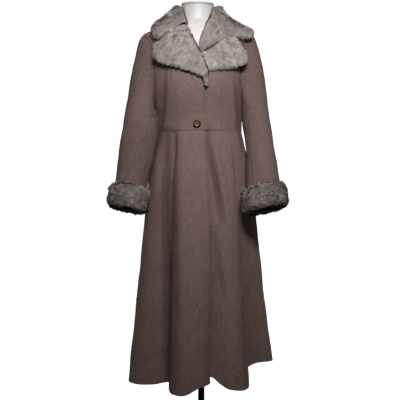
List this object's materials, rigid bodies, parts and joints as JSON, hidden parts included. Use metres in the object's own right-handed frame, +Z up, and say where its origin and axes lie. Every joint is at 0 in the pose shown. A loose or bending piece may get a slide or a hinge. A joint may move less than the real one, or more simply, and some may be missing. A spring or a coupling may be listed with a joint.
{
  "type": "overcoat on a limbless dress form with a stand",
  "caption": "Long fit-and-flare wool overcoat with fur collar, lapels and turn-back cuffs, standing filled out on a plain white dress form with a round base.",
  "frame": {"origin": "middle of the underside of the stand's round base, on the floor", "axes": "+Z up, -Y is the coat's front, +X is the wearer's left"},
  "size_m": [0.6002, 0.437, 1.4043],
  "materials": {
    "wool": "brushed taupe-brown wool cloth, matt with a soft nap",
    "fur": "short dense grey-taupe imitation fur",
    "button": "brown mottled plastic",
    "form": "smooth matt off-white",
    "stand": "black satin paint"
  },
  "bodies": {
    "root": {"front_right_bodice": "wool", "front_right_skirt": "wool", "front_left_bodice": "wool", "front_left_skirt": "wool", "side_front_right": "wool", "side_front_left": "wool", "side_back_right": "wool", "side_back_left": "wool", "back_right": "wool", "back_left": "wool", "sleeve_upper_right": "wool", "sleeve_under_right": "wool", "sleeve_upper_left": "wool", "sleeve_under_left": "wool", "cuff_right": "fur", "cuff_left": "fur", "collar": "fur", "lapel_right": "fur", "lapel_left": "fur", "button": "button", "form_torso": "form", "form_neck_cap": "form", "form_pole": "stand", "form_base": "stand"}
  },
  "joints": []
}
